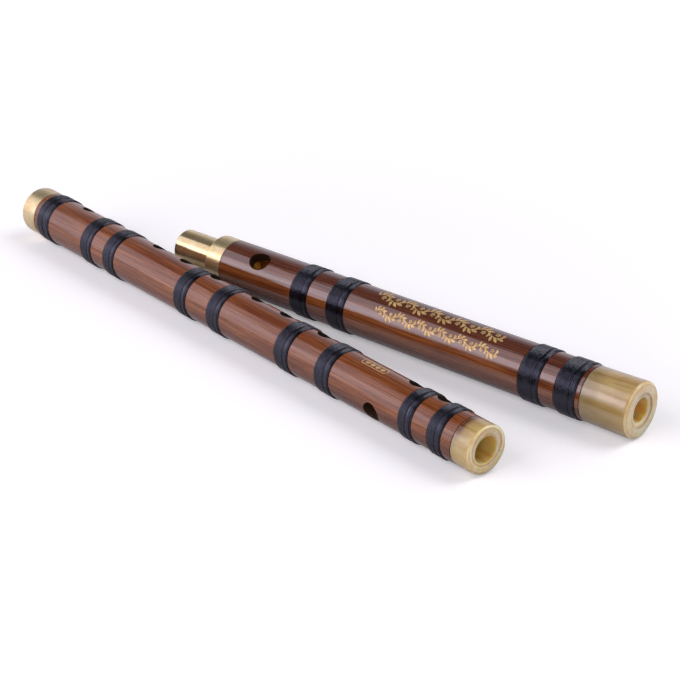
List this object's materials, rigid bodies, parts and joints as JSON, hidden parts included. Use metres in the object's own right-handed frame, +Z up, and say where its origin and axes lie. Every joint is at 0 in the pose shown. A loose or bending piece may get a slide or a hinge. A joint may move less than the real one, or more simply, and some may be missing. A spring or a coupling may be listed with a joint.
{
  "type": "bamboo transverse flute",
  "caption": "Side-blown bamboo flute in two sections with thread bindings, a brass tenon and socket and horn ends, taken apart and lying flat.",
  "frame": {"origin": "on the table under the middle of the bounding box", "axes": "+X along the foot section from its socket to its horn end, +Y from the foot section towards the head section, +Z up"},
  "size_m": [0.3576, 0.0944, 0.0254],
  "materials": {
    "bamboo": "clear gloss lacquer over stained bamboo, fine lengthwise grain",
    "brass": "satin turned brass",
    "horn": "polished translucent pale horn",
    "thread": "blue-black thread, wound close and lacquered",
    "cork": "bare cork"
  },
  "bodies": {
    "foot_section": {"foot_tube": "bamboo", "foot_socket": "brass", "foot_horn_ring": "horn", "foot_binding_1": "thread", "foot_binding_2": "thread", "foot_binding_3": "thread", "foot_binding_4": "thread", "foot_binding_5": "thread", "foot_binding_6": "thread", "foot_binding_7": "thread", "foot_binding_8": "thread", "foot_binding_9": "thread"},
    "tenon": {"head_tenon": "brass"},
    "head_section": {"head_tube": "bamboo", "head_horn_cap": "horn", "head_stopper": "cork", "head_binding_1": "thread", "head_binding_2": "thread", "head_binding_3": "thread", "head_binding_4": "thread"}
  },
  "joints": [
    {"name": "tuning_slide", "type": "slide", "parent": "foot_section", "child": "tenon", "axis": [0.9885, 0.1511, 0.0005], "range_m": [0, 0.026]},
    {"name": "head_turn", "type": "hinge", "parent": "tenon", "child": "head_section", "pos_m": [-0.04309, 0.00142, 0.0126], "axis": [0.9885, 0.1511, 0.0005], "continuous": true}
  ]
}
